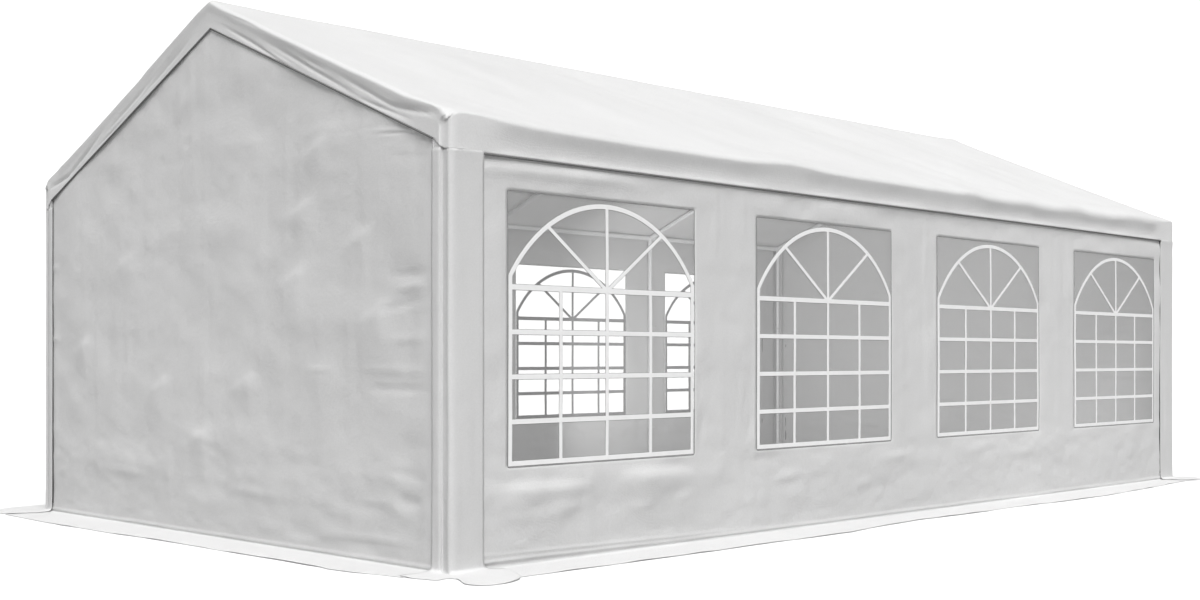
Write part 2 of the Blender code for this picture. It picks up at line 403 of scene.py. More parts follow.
def film_material():
    """Clear vinyl film, a little hazy and uneven."""
    m = Nodes(bpy.data.materials.new("window_film_clear"))
    m.bump(m.noise(3.0), 0.25, 0.01)
    colour = m.ramp(m.noise(2.2, 3.0), grey(0.84), grey(0.92))
    rough = m.ramp(m.noise(6.0, 3.0), grey(0.12), grey(0.24))
    m.fill(m.shader, {"Base Color": colour, "Roughness": rough, "Alpha": 0.085})
    return m.owner


def steel_material():
    """Galvanised tube: zinc flakes in two greys, slightly uneven."""
    m = Nodes(bpy.data.materials.new("galvanised_zinc"))
    flakes = m.add("ShaderNodeTexVoronoi", {"Vector": m.place, "Scale": 130.0})
    tone = m.math("ADD", m.math("MULTIPLY", flakes.outputs["Distance"], 0.5), m.noise(18.0, 4.0))
    colour = m.ramp(tone, grey(0.8, -0.004), grey(0.92, -0.004), 0.3, 1.0)
    rough = m.ramp(tone, grey(0.3), grey(0.44))
    m.fill(m.shader, {"Base Color": colour, "Roughness": rough, "Metallic": 0.12})
    m.bump(m.noise(90.0, 3.0), 0.2, 0.0008)
    return m.owner


def floor_material():
    """Plain pale studio floor: white to the camera, and greyer in the light it throws back."""
    m = Nodes(bpy.data.materials.new("studio_floor"))
    colour = m.ramp(m.noise(0.6, 3.0), grey(0.42), grey(0.44))
    m.fill(m.shader, {"Base Color": colour, "Roughness": 0.9, "Specular IOR Level": 0.1})
    pale = m.ramp(m.noise(0.6, 3.0), grey(0.91), grey(0.93))
    m.blend(m.seen(), m.shader, m.add("ShaderNodeBsdfDiffuse", {"Color": pale}))
    return m.owner


# Plain finishes: darkest and lightest grey, scale of the tone, scale and depth of the grain, roughness
PLAIN = {
    "window_print": (0.79, 0.87, 30.0, 120.0, 0.0006, 0.45),
    # The weld's grey also paints the shade beside the printed bars
    "window_weld_and_bar_shade": (0.2, 0.28, 60.0, 200.0, 0.0005, 0.6),
    # The two cords are painted shade: dark lines where the hems and the sleeves' edges cast shade
    "painted_shade_cord": (0.11, 0.17, 80.0, 240.0, 0.0006, 0.75),
    "pale_painted_shade_cord": (0.4, 0.5, 80.0, 240.0, 0.0006, 0.75),
    "tie_webbing": (0.74, 0.84, 120.0, 300.0, 0.0006, 0.7),
}


def plain_material(name):
    """Print, weld line and painted shade beside the bars, cord of painted shade, or webbing: one uneven
    grey with a fine grain.
    """
    dark, light, scale, grain, depth, rough = PLAIN[name]
    m = Nodes(bpy.data.materials.new(name))
    colour = m.ramp(m.noise(scale, 3.0), grey(dark), grey(light))
    m.fill(m.shader, {"Base Color": colour, "Roughness": rough})
    m.bump(m.wave(grain, "Z") if name == "tie_webbing" else m.noise(grain), 0.3, depth)
    return m.owner


ROOF_CLOTH = cloth_material("roof_cloth", 0.812)
WALL_CLOTH = cloth_material("wall_cloth", 0.778)
FILM_CLEAR = film_material()
STEEL = steel_material()
PRINT, WELD_AND_BAR_SHADE, SHADE_CORD, PALE_SHADE_CORD, TIE = (plain_material(name) for name in PLAIN)

# Random relief of the walls: height, size along and up the wall, and number added to the seed
DENTS = [(1.0, 0.62, 0.5, 0), (0.7, 0.24, 0.17, 1)]
CRUMPLE = [(0.0044, 0.26, 0.085, 2), (0.002, 0.08, 0.045, 3)]
SMALL = [(0.0016, 0.1, 0.07, 5), (0.0014, 0.06, 0.8, 4)]

# Heights of the pushed-out spots, of the seams and of the cloth behind the valance's hem
SPOT_HEIGHT = 0.016
SEAM_HEIGHT = 0.0022
BEHIND_HEM = 0.0055


class Wall:
    """A fabric wall: s runs along it, z up it, and out leads away from the room."""

    windows = ()
    spots = ()
    slack = 0.007
    dents = 0.008

    def __init__(self, name, face, along, out, half, seed):
        self.name = name
        self.face = face
        self.along = np.array(along)
        self.out = np.array(out)
        # 1 where s runs to the right as seen from outside, and -1 where it runs to the left
        self.turn = float(np.cross(self.along, UP) @ self.out)
        self.half = half
        self.seed = seed

    def inside_window(self, s, z, soften):
        """1 on the window film, falling to 0 a little way outside it."""
        there = np.zeros(np.broadcast(s, z).shape)
        for low, high, bottom, top in self.windows:
            beside = 1 - smooth(0.0, soften, np.maximum(low - s, s - high))
            above = 1 - smooth(0.0, soften, np.maximum(bottom - z, z - top))
            there = np.maximum(there, beside * above)
        return there

    def bumps(self, s, z, layers):
        """The sum of several layers of random relief."""
        return sum(height * lattice(s, z, *size, self.seed + more) for height, *size, more in layers)

    def relief(self, s, z):
        """How far the cloth stands out from its plane."""
        s, z = np.broadcast_arrays(s, z)
        height = np.clip(z / WALL_TOP, 0.0, 1.0)
        belly = np.sin(np.pi * np.clip(0.06 + 0.94 * height, 0, 1)) ** 0.6
        nearest = np.min([np.abs(s - tie) for tie in self.ties], axis=0)
        free = smooth(0.02, 0.55, nearest)
        film = self.inside_window(s, z, 0.05)
        dent = self.dents * self.bumps(s, z, DENTS) * (0.25 + 0.75 * smooth(0.03, 0.25, nearest))
        low = (1 - smooth(0.4, 0.75, z)) * smooth(0.01, 0.1, z)
        total = self.slack * free * belly + (dent + self.bumps(s, z, CRUMPLE) * low) * (1 - 0.8 * film)
        total = total + self.bumps(s, z, SMALL) * (1 - 0.9 * film)
        clear = 1 - 0.9 * self.inside_window(s, z, 0.02)
        for fold in self.folds:
            total = total + crease(s, z, *fold) * clear
        for place, level in self.spots:
            # Steep on the side of the light and gentle on the other
            beside = s - place
            above = z - level - 0.03 + 0.35 * beside
            wide = np.where(beside < 0, 0.075, 0.14)
            high = np.where(above > 0, 0.045, 0.15)
            total = total + SPOT_HEIGHT * bell(beside, 0.0, wide) * bell(above, 0.0, high)
        for seam in self.seams:
            total = total + SEAM_HEIGHT * bell(s, seam, 0.011) * (1 - film)
        # The cloth lies evenly behind the valance's hem and the sleeves
        above = smooth(-0.075, -0.005, z - self.hem(s))
        away = smooth(0.1, 0.4, self.half - np.abs(s))
        return total * (1 - above) + BEHIND_HEM * above * away + 0.0005

    def place(self, s, z, lift=0.0):
        """Points of the wall's surface, as an array of x, y, z."""
        s, z, lift = np.broadcast_arrays(s, z, lift)
        out = self.face + self.relief(s, z) + lift
        point = s[..., None] * self.along + out[..., None] * self.out
        point[..., 2] += z
        return point


def foot_curve(q, width):
    """The bend from wall to ground: q is the cloth's distance from the fold, up the wall or out."""
    root = np.sqrt(q * q + width * width)
    return (root - q) / 2, (root + q) / 2


def skirt_reach(wall, s):
    """How far the ground skirt reaches out along the wall."""
    return from_table(wall.skirt, s) + 0.004 * lattice(s, 0.0, 0.3, 1.0, wall.seed + 9)


# The foot of the walls: height of its fine grid, radius of the bend to the ground and height of
# the cloth's middle over the ground
FOOT_ZONE = 0.1
FOOT_BEND = 0.01
FOOT_LIFT = 0.0025


def cloth_wall(wall, top):
    """The wall's sheet, from under the roof down to the ground and out as the skirt."""
    breaks = [-wall.half, wall.half]
    levels = [FOOT_ZONE, WALL_TOP - 0.06]
    for low, high, bottom, upper in wall.windows:
        breaks += [low, high]
        levels += [bottom, upper]
    s = lines(breaks, CELL)
    up = np.concatenate([lines([0.0, FOOT_ZONE], 0.005)[:-1], lines(levels, CELL * 0.82)])
    skirt = -lines([0.0, 0.12, 1.0], 0.06)[:0:-1]
    q = np.concatenate([skirt, up])
    grid_s, grid_q = np.meshgrid(s, q)
    distance = np.where(grid_q < 0, grid_q * skirt_reach(wall, grid_s), grid_q)
    out, z = foot_curve(distance, FOOT_BEND)
    ripple = 0.5 + 0.5 * lattice(grid_s, distance, 0.16, 0.3, wall.seed + 6)
    calm = 0.25 + 0.75 * smooth(0.0, 0.5, wall.half - np.abs(grid_s))
    ripple = ripple * smooth(0.02, 0.25, out) * 0.007 * calm
    wander = 0.005 * lattice(grid_s, 0.0, 0.45, 1.0, wall.seed + 7) * (1 - smooth(0.1, 0.4, z))
    # The sewn edge of the wall stands out just above the skirt
    sewn = np.interp(grid_s, [-3.5, -2.8, -2.0], [0.034, 0.027, 0.019]) if wall.windows else 0.019
    sewn_fold = (0.0055 * bell(z, sewn, 0.01) - 0.0028 * bell(z, sewn - 0.016, 0.008)) * (grid_q > 0)
    points = wall.place(grid_s, z + FOOT_LIFT + ripple, out + wander + sewn_fold)
    # Above the even rows the cloth runs up to its top edge, which slopes on the gables
    rise = np.linspace(0.0, 1.0, 3 if wall.windows else 36)[1:]
    upper_s, part = np.meshgrid(s, rise)
    low_z = q[-1]
    points = np.concatenate([points, wall.place(upper_s, low_z + part * (top(upper_s) - low_z))])
    all_z = np.concatenate([z[:, 0], low_z + rise * 0.01])
    middle_s = (s[:-1] + s[1:]) / 2
    middle_z = (all_z[:-1] + all_z[1:]) / 2
    keep = np.ones((len(middle_z), len(middle_s)), dtype=bool)
    for low, high, bottom, upper in wall.windows:
        inside_s = (middle_s > low) & (middle_s < high)
        inside_z = (middle_z > bottom) & (middle_z < upper)
        keep[np.ix_(inside_z, inside_s)] = False
    outwards = Vector(wall.out)
    piece = cloth_piece(wall.name + "_cloth", [(points, keep)], WALL_CLOTH, lambda place: outwards + UP)
    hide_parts(wall.name)
    return piece


def ribbon(wall, path, width, lift, thick, closed=False):
    """Points and faces of a flat strip along a path on the wall."""
    path = np.array(path, dtype=float)
    after = unit(np.roll(path, -1, axis=0) - path)
    if not closed:
        after[-1] = after[-2]
    before = np.roll(after, 1, axis=0)
    if not closed:
        before[0] = after[0]
    mean = unit(before + after)
    side = np.stack([-mean[:, 1], mean[:, 0]], axis=1)
    side *= wall.turn * width / 2 / np.sum(mean * before, axis=1)[:, None]
    corners = []
    for sign, height in ((1, lift), (1, lift + thick), (-1, lift + thick), (-1, lift)):
        edge = path + sign * side
        corners.append(wall.place(edge[:, 0], edge[:, 1], height))
    return tube(np.stack(corners, axis=1), closed)


# The printed pattern, measured from the middle of the window and from the ground
BAR = 0.0245
ARCH_RADIUS = 0.84
SIDE_BAR = 0.698
MUNTIN = 0.345
TRANSOM = 1.371
BAR_PITCH = 0.2205
FAN_ANGLE = math.radians(35.3)

# The windows: opening, the film's lap and gap behind the cloth, the lower corners' radius, the
# weld's width and how far the painted shade beside the printed bars reaches
LAP = 0.01
FILM_GAP = 0.0014
CORNER_RADIUS = 0.014
WELD_WIDTH = 0.0044
BAR_SHADE_EDGE = 0.0021


def window_paths(middle, bottom, top):
    """The paths of the printed bars, with each one's width."""
    crown = top - 0.02 - BAR / 2
    radius = ARCH_RADIUS - BAR / 2
    arch_middle = crown - radius
    spring = math.acos(SIDE_BAR / radius)
    base = bottom + 0.006 + BAR / 2
    spring_z = arch_middle + radius * math.sin(spring)
    angles = np.linspace(spring, math.pi - spring, 41)
    arc = np.stack([middle + radius * np.cos(angles), arch_middle + radius * np.sin(angles)], axis=1)
    # The bars of the fan end at the arch
    fan_s, fan_z = math.cos(FAN_ANGLE), math.sin(FAN_ANGLE)
    reach = 0.1
    while math.hypot(reach * fan_s, TRANSOM + reach * fan_z - arch_middle) <= radius:
        reach += 0.002
    bars = []
    for end in (-1, 1):
        edge = middle + end * SIDE_BAR
        upright = middle + end * MUNTIN
        bars += [
            ((edge, base - BAR / 2), (edge, spring_z + 0.004), 1.0),
            ((upright, base), (upright, TRANSOM), 0.9),
            ((middle, TRANSOM), (middle + end * reach * fan_s, TRANSOM + reach * fan_z), 0.8),
        ]
    bars.append(((middle, base), (middle, crown), 0.9))
    left, right = middle - SIDE_BAR, middle + SIDE_BAR
    for row in range(4):
        level = TRANSOM - row * BAR_PITCH
        bars.append(((left, level), (right, level), 1.0 if row else 1.1))
    bars.append(((left - BAR / 2, base), (right + BAR / 2, base), 1.0))
    return [(arc, BAR), *((straight(start, end), BAR * share) for start, end, share in bars)]


def window(wall, node, number):
    """Film, printed bars, painted shade beside the bars and weld line of one window."""
    low, high, bottom, top = wall.windows[number]
    s, z = np.meshgrid(lines([low - LAP, high + LAP], 0.05), lines([bottom - LAP, top + LAP], 0.05))
    ripple = 0.0008 * lattice(s, z, 0.25, 0.4, wall.seed + 20 + number)
    outwards = Vector(wall.out)
    points = wall.place(s, z, ripple - CLOTH - FILM_GAP)
    pane = cloth_piece(node + "_film", [points], FILM_CLEAR, lambda place: outwards, FILM)
    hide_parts(node)
    shapes, shades = [], []
    for order, (path, width) in enumerate(window_paths((low + high) / 2, bottom, top)):
        shapes.append(ribbon(wall, path, width, -CLOTH - 0.0002 + 0.00004 * order, 0.0012))
        # Painted shade: a darker strip beside each printed bar, in the weld's grey
        shades.append(ribbon(wall, path, width + 2 * BAR_SHADE_EDGE, -CLOTH - 0.0008, 0.0006))
    bars = joined(node + "_bars", shapes, PRINT)
    edges = joined(node + "_painted_bar_shade", shades, WELD_AND_BAR_SHADE)
    outline = [(low, top), (high, top)]
    for corner_s, start in ((high - CORNER_RADIUS, 0.0), (low + CORNER_RADIUS, -math.pi / 2)):
        turns = np.linspace(start, start - math.pi / 2, 5)
        corner_z = bottom + CORNER_RADIUS
        outline += zip(corner_s + CORNER_RADIUS * np.cos(turns), corner_z + CORNER_RADIUS * np.sin(turns))
    sides = zip(outline, outline[1:] + outline[:1])
    outline = np.concatenate([straight(here, there)[:-1] for here, there in sides])
    weld = joined(node + "_weld", [ribbon(wall, outline, WELD_WIDTH, -0.0002, 0.0009, True)], WELD_AND_BAR_SHADE)
    for piece in (bars, edges, weld):
        piece.data.shade_flat()
    pieces = [pane, bars, edges, weld]
    return pieces


def ridge_lift(x):
    """The cover's ridge climbs a little towards the far end."""
    return 0.012 + 0.033 * (x + HALF_LENGTH) / (2 * HALF_LENGTH)


def gable_line(distance, end):
    """Height of the roof cover over a gable, at that distance from the ridge."""
    far = np.abs(distance)
    return RIDGE + ridge_lift(end * HALF_LENGTH) * (1 - far / ROOF_HALF_WIDTH) - far * FALL


# How far the walls' cloth ends behind the corners and under the roof cover
LONG_INSET = 0.06
GABLE_INSET = 0.066
UNDER_COVER = 0.013

# Edge of the ground skirts: place along the wall and reach
LONG_SKIRT = [
    (-4.03, 0.28), (-3.3, 0.295), (-2.4, 0.31), (-1.6, 0.335), (-1.25, 0.345), (-1.0, 0.3),
    (-0.4, 0.262), (0.2, 0.29), (0.8, 0.28), (1.5, 0.315), (2.1, 0.336), (2.8, 0.283), (3.5, 0.228),
    (4.03, 0.19),
]
GABLE_SKIRT = [
    (-1.974, 0.21), (-1.8, 0.24), (-1.66, 0.285), (-1.5, 0.304), (-1.4, 0.286), (-0.8, 0.29),
    (0.3, 0.302), (0.6, 0.33), (1.4, 0.338), (1.974, 0.315),
]

# Folds of the long walls, with rolls and bulges round the windows first: start and end, each along
# and up the wall in metres, width and height in millimetres, and how many times wider it is below
LONG_FOLDS = [
    (-3.98, 1.945, -2.75, 1.96, 40, 16), (-3.77, 0.366, -3.16, 0.36, 38, 34, 3.4),
    (-2.86, 0.392, -2.36, 0.388, 34, 30, 3.4), (-3.88, 0.25, -3.05, 0.345, 40, -6),
    (-3.45, 0.245, -3.2, 0.275, 30, 6), (-2.85, 0.23, -2.65, 0.24, 28, 6),
    (-2.45, 0.25, -2.3, 0.28, 30, 6), (-1.55, 0.3, -1.28, 0.335, 35, 8),
    (-0.72, 0.225, -0.5, 0.235, 30, 6), (-0.35, 0.38, -0.05, 0.4, 30, 7), (0.7, 0.4, 0.95, 0.41, 35, 6),
    (1.2, 0.33, 1.6, 0.34, 35, 5), (-3.85, 0.068, -1.9, 0.04, 10, 5), (-2.09, 1.62, -2.1, 1.99, 14, 6),
    (-1.83, 1.7, -1.85, 1.97, 14, 4.5), (-1.87, 0.62, -1.84, 0.95, 14, 4),
    (-2.22, 0.55, -2.2, 0.72, 22, -6), (-1.78, 0.58, -1.76, 0.7, 20, -6),
    (0.12, 1.5, 0.15, 1.95, 16, 4.5), (2.05, 1.4, 2.08, 1.95, 16, 4),
]

# Folds of the gables, likewise: soft ones at eave height, then wrinkles beside the near corner
GABLE_FOLDS = [
    (-1.45, 2.185, -0.9, 2.2, 50, 7.5, 2.5), (-0.65, 2.19, 0.0, 2.215, 45, 6, 2.5),
    (0.25, 2.235, 1.35, 2.215, 45, 2.5, 2.5), (0.2, 2.55, 0.42, 2.42, 60, 10),
    (0.22, 2.29, 0.3, 2.25, 24, -8), (-1.75, 0.125, -1.1, 0.115, 20, 8),
    (-1.86, 1.375, -1.66, 1.36, 20, 10), (-1.88, 1.435, -1.62, 1.43, 12, -6),
    (-1.88, 1.31, -1.5, 1.25, 14, -6), (-1.88, 1.12, -1.62, 1.11, 20, 5.5),
    (-1.88, 0.865, -1.45, 0.87, 16, -7), (-1.88, 0.96, -1.4, 0.965, 20, 4.5),
    (-1.88, 0.44, -1.55, 0.47, 24, -6), (-1.85, 0.31, -1.66, 0.33, 40, -13),
    (-1.12, 0.965, -0.92, 0.96, 12, 5), (0.3, 0.6, -0.1, 0.54, 30, 5), (1.2, 0.33, 0.7, 0.32, 22, 6),
    (-0.25, 0.29, -0.6, 0.28, 22, 6), (-1.35, 0.3, -1.62, 0.31, 22, 6),
    (1.95, 1.15, 1.84, 1.145, 20, 7), (1.95, 1.62, 1.86, 1.615, 18, 6),
]
for wrinkle in range(4):
    level = 2.15 - 0.034 * wrinkle
    GABLE_FOLDS.append((-1.52 - 0.03 * wrinkle, level, -1.9, level - 0.03, 10, 6))

# Small spots where something soft pushes the gable out: place along it and height
GABLE_SPOTS = [
    (0.93, 1.58), (-0.89, 1.77), (-1.37, 1.59), (-0.82, 1.41), (-1.52, 1.21), (1.47, 1.07),
    (0.55, 0.82), (-0.37, 0.85), (0.08, 0.54), (-1.02, 2.08),
]


def long_wall(name, side):
    """A long wall with its four windows."""
    label = "front" if side < 0 else "back"
    half = HALF_LENGTH - LONG_INSET
    wall = Wall(name, HALF_WIDTH, (1.0, 0.0, 0.0), (0.0, float(side), 0.0), half, 310 if side < 0 else 470)
    boxes = [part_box(f"window_{label}_{number + 1}") for number in range(4)]
    wall.windows = [(low.x, high.x, low.z, high.z) for low, high in boxes]
    wall.ties = LEG_X
    wall.hem = lambda s: HEM_HEIGHT + 0 * s
    wall.seams = [-2.03, -0.15, 1.9]
    wall.skirt = LONG_SKIRT
    wall.folds = LONG_FOLDS
    piece = cloth_wall(wall, lambda s: np.full(np.shape(s), WALL_TOP))
    parts = []
    for number in range(4):
        parts += window(wall, f"window_{label}_{number + 1}", number)


def gable_wall(name, end):
    """An end wall up to the roof's slopes."""
    half = HALF_WIDTH - GABLE_INSET
    wall = Wall(name, HALF_LENGTH, (0.0, 1.0, 0.0), (float(end), 0.0, 0.0), half, 820 if end < 0 else 930)
    wall.ties = [-LEG_Y, LEG_Y]
    wall.hem = lambda s: gable_line(s, end) - UNDER_COVER - GABLE_DROP + 0.06
    wall.slack = 0.012
    wall.dents = 0.0095
    wall.seams = [-0.73, 0.06, 1.31]
    wall.skirt = GABLE_SKIRT
    wall.folds = GABLE_FOLDS
    wall.spots = GABLE_SPOTS
    piece = cloth_wall(wall, lambda s: gable_line(s, end) - UNDER_COVER)


# Soft dips and swells of the fold over the eave: place along it, width and height
EAVE_SWELLS = [
    (-3.9, 0.35, 0.016), (-2.3, 0.6, -0.007), (-1.42, 0.28, 0.019), (-0.05, 0.48, -0.028),
    (0.68, 0.16, 0.014), (1.12, 0.2, -0.01), (1.5, 0.16, 0.012), (2.26, 0.18, 0.013),
    (3.35, 0.35, 0.022), (3.9, 0.3, 0.006),
]

# The uneven gable edge, from its front end to its back end: place and height
GABLE_EDGE = [
    (-2.05, -0.012), (-1.9, -0.008), (-1.2, -0.003), (-0.1, 0.0), (0.05, 0.012), (0.15, 0.016),
    (0.5, 0.013), (0.69, 0.01), (0.78, -0.002), (0.92, -0.01), (1.4, -0.01), (1.6, -0.004),
    (1.8, 0.002), (1.92, -0.006), (2.05, -0.014),
]

# Furrows and ridges in the gable valance: start and end, each a place along it and a depth below
# its edge in metres, then width and height in millimetres
VALANCE_FOLDS = [
    (-0.19, 0.11, -0.66, 0.134, 10, -8), (-0.52, 0.118, -0.79, 0.142, 8, 6),
    (-0.58, 0.08, -1.26, 0.122, 11, -9), (-0.89, 0.066, -1.08, 0.071, 9, -6),
    (-1.26, 0.071, -1.68, 0.098, 10, -9), (-1.62, 0.096, -1.97, 0.034, 12, -15),
    (-1.4, 0.14, -1.74, 0.116, 10, -7), (-0.23, 0.027, -0.47, 0.019, 8, -4),
    (0.23, 0.104, 0.72, 0.123, 10, -8), (0.64, 0.09, 1.13, 0.098, 10, -8),
    (0.99, 0.138, 1.28, 0.133, 9, -6), (1.32, 0.079, 1.72, 0.117, 11, -13),
    (1.7, 0.115, 1.93, 0.076, 11, -13), (0.3, 0.06, 0.62, 0.075, 12, 5),
]

# The slopes: where they end, how far behind the wall's plane they begin, how much they sag, and
# how deep they dip over the corners
EDGE_X = HALF_LENGTH + 0.003
SLOPE_START = -0.012
SAG = 0.026
CORNER_DIP = 0.044

# The valance: how far its hem stands out, and the points between two controls of its curve
HEM_OUT = 0.015
CURVE_PARTS = 3

# Beside the corner legs: where the long valance bends round, inwards from the wall's end, and how
# deep, where the gable valance is pressed together and how much, and the groove's place
BEND_FROM, BEND_TO, BEND_DEPTH = 0.045, -0.003, 0.0189
PRESSED_FROM, PRESSED = 0.1, 0.52
GROOVE = (0.001, -0.058)


def eave_wave(x, side):
    """The uneven line of the fold over the eave."""
    wave = 0.003 + 0.003 * lattice(x, 0.0, 0.17, 1.0, 61 + side) * smooth(-1.0, 1.0, x)
    for place, width, height in EAVE_SWELLS:
        wave = wave + height * bell(x, place, width)
    return wave


def slope_surface(x, run, side):
    """The cover over one slope: x along the tent, run from the eave's fold up to the ridge."""
    y = ROOF_HALF_WIDTH - run * math.cos(PITCH)
    z = EAVE + run * math.sin(PITCH)
    wave = eave_wave(x, side)
    z = z + np.maximum(wave, 0.0) * (1 - smooth(0.0, 0.4, run))
    z = z + np.minimum(wave, 0.0) * (1 - smooth(0.0, 0.05, run))
    near = np.min([np.abs(x - at) for at in LEG_X], axis=0)
    part = np.clip(run / SLOPE_LENGTH, 0.0, 1.0)
    free = smooth(0.02, 0.95, near) * smooth(0.03, 0.25, part) * (1 - smooth(0.86, 0.985, part))
    slant = x + 0.5 * run
    soft = 0.012 * lattice(slant, run, 0.55, 0.75, 81 + side)
    streak = 0.01 * lattice(slant, run, 0.26, 1.3, 85 + side)
    small = 0.002 * lattice(x, run, 0.22, 0.16, 91 + side) * smooth(0.0, 0.05, part)
    z = z + (soft + streak - SAG) * free + small + ridge_lift(x) * part
    z = z - CORNER_DIP * bell(np.abs(x), HALF_LENGTH + 0.01, 0.026) * bell(y, HALF_WIDTH + 0.01, 0.036)
    uneven = from_table(GABLE_EDGE, side * y) + 0.003 * lattice(run, 0.0, 0.28, 1.0, 95 + side)
    dip_zone = smooth(LEG_X[-1] + 0.025, ROOF_HALF_LENGTH, np.abs(x))
    swell_zone = smooth(HALF_LENGTH - 0.4, HALF_LENGTH, np.abs(x))
    z = z + dip_zone * np.minimum(uneven, 0.0) + swell_zone * np.maximum(uneven, 0.0)
    return np.stack(np.broadcast_arrays(x, side * y, z), axis=-1)


def turned_edge(middle, level, radius, angles):
    """The round of the valance under the roof's edge, as distances out and heights."""
    turns = [math.radians(angle) for angle in angles]
    return [(middle + radius * math.cos(turn), level + radius * math.sin(turn)) for turn in turns]


def long_valance(row, side):
    """The valance under one eave, from its hem up to the first row of the slope."""
    at = row[:, 0]
    from_end = EDGE_X - np.abs(at)
    strip = np.where(at < 0, SLEEVE_LONG[-1], SLEEVE_LONG[1])
    free = smooth(0.0, 0.25, from_end - strip + 0.02)
    radius = 0.014 + (0.017 + 0.024 * smooth(-0.6, 2.2, at)) * smooth(0.02, 0.35, from_end)
    reach = 0.016 + 0.0195 * free
    sway = 0.0035 * lattice(at, 0.0, 0.35, 1.0, 113 + side) * free
    hang = 0.004 * lattice(at, 0.0, 0.25, 1.0, 111 + side) * free
    start = reach - radius * (1 - math.sin(PITCH))
    level = row[:, 2] - (start - SLOPE_START) * FALL - radius * math.cos(PITCH)
    lip = 0.003 * bell(from_end, 0.075, 0.03)
    profile = [
        (HEM_OUT + 0.0015 * free + sway + lip, HEM_HEIGHT + 0 * at),
        (HEM_OUT - 0.0045 * free + sway * 0.6 + hang, HEM_HEIGHT + 0.03 + 0 * at),
        (HEM_OUT + 0.0003 + 0.0005 * free + hang, HEM_HEIGHT + 0.55 * (level - HEM_HEIGHT)),
        *turned_edge(reach - radius, level, radius, (-12.0, 18.0, 42.0, 64.0)),
    ]
    controls = [np.stack([at, side * (HALF_WIDTH + out), z], axis=-1) for out, z in profile]
    return curve(controls + [row], CURVE_PARTS)


def gable_valance(row, end):
    """The valance under one gable edge, from its hem up to the slopes' edge."""
    at = row[:, 1]
    edge = row[:, 2]
    hem = gable_line(at, end) - GABLE_DROP
    free = smooth(0.09, 0.35, HALF_WIDTH - np.abs(at))
    radius = 0.014 + 0.01 * free
    reach = 0.016 + 0.0105 * free
    soft = 0.003 * lattice(at, 0.0, 0.22, 1.0, 121 + end) * free
    depth = edge - hem
    profile = [
        (HEM_OUT + 0.001 * free + soft, hem),
        (HEM_OUT + soft, hem + 0.018),
        (HEM_OUT + soft, hem + 0.036),
        (HEM_OUT + 0.001 * free + soft, hem + 0.4 * depth),
        (HEM_OUT + 0.0002 + 0.0028 * free + soft, hem + 0.58 * depth),
        *turned_edge(reach - radius, edge - radius, radius, (-10.0, 30.0)),
    ]
    controls = [np.stack([end * (HALF_LENGTH + out), at, z], axis=-1) for out, z in profile]
    strip = curve(controls + [row], CURVE_PARTS)
    below = edge[None, :] - strip[..., 2]
    inside = smooth(0.0, 0.02, strip[..., 2] - hem[None, :]) * smooth(0.0, 0.02, below)
    for fold in VALANCE_FOLDS:
        strip[..., 0] += end * inside * crease(strip[..., 1], below, *fold)
    return strip


def corner_patch(first, last, pressed, level, end, side):
    """The cloth round one corner, from the eave's valance to the gable's."""
    peak = np.stack([last[:, 0], first[:, 1], (first[:, 2] + last[:, 2]) / 2], axis=-1)
    groove = (end * (HALF_LENGTH + GROOVE[0]), side * (HALF_WIDTH + GROOVE[1]))
    for axis in (0, 1):
        peak[:, axis] += pressed * (groove[axis] - peak[:, axis])
    dent = 0.012 * smooth(0.35, 0.9, level) * (1 - smooth(0.93, 1.0, level))
    steps = []
    for t in np.linspace(0.0, 1.0, 15):
        row = (1 - t) ** 2 * first + 2 * t * (1 - t) * peak + t * t * last
        row[:, 2] -= dent * bell(t, 0.5, 0.25)
        steps.append(row)
    return np.array(steps)


def roof():
    """The roof cover: both slopes and a valance on all four sides, sewn into one sheet."""
    start_run = (ROOF_HALF_WIDTH - HALF_WIDTH - SLOPE_START) / math.cos(PITCH)
    fine = [step * 0.01 for step in range(7)]
    ends = [sign * (EDGE_X - step) for sign in (-1, 1) for step in fine]
    x = lines([*ends, *LEG_X[1:4]], 0.045)
    run = lines([*(start_run + step for step in fine), SLOPE_LENGTH], 0.036)
    front = slope_surface(x[None, :], run[:, None], -1)
    back = slope_surface(x[None, :], run[:, None], 1)
    slopes = np.concatenate([front, back[-2::-1]])
    long_rows = {-1: long_valance(slopes[0], -1), 1: long_valance(slopes[-1], 1)}
    gable_rows = {-1: gable_valance(slopes[:, 0], -1), 1: gable_valance(slopes[:, -1], 1)}
    level = np.linspace(0.0, 1.0, len(long_rows[-1]))
    pressed = 1 - smooth(0.6, 0.97, level)
    # The valance bends round each corner leg and is pressed into a groove beside it
    for side, strip in long_rows.items():
        inset = HALF_LENGTH - np.abs(strip[..., 0])
        share = np.clip((BEND_FROM - inset) / (BEND_FROM - BEND_TO), 0.0, 1.0)
        strip[..., 1] -= side * BEND_DEPTH * (1 - np.sqrt(1 - share * share)) * pressed[:, None]
    for strip in gable_rows.values():
        inset = HALF_WIDTH - np.abs(strip[..., 1])
        shift = PRESSED * np.maximum(PRESSED_FROM - inset, 0.0)
        strip[..., 1] -= np.sign(strip[..., 1]) * shift * pressed[:, None]
    grids = [slopes, *long_rows.values(), *gable_rows.values()]
    for end in (-1, 1):
        for side in (-1, 1):
            first = long_rows[side][:, 0 if end < 0 else -1]
            last = gable_rows[end][:, 0 if side < 0 else -1]
            grids.append(corner_patch(first, last, pressed, level, end, side))
    piece = cloth_piece(
        "roof_cover_cloth",
        grids,
        ROOF_CLOTH,
        lambda place: Vector((place.x / 4, place.y / 2, place.z - 1.6)),
    )
    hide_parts("roof_cover")


# The dark cords of painted shade, under the hems and beside the sleeves: how far those at the
# hems and those beside the sleeves stand out from the walls, and where the latter end above the ground
HEM_CORD_OUT = 0.0145
GABLE_CORD_OUT = 0.0135
EDGE_CORD_OUT = 0.0065
EDGE_CORD_FOOT = 0.06


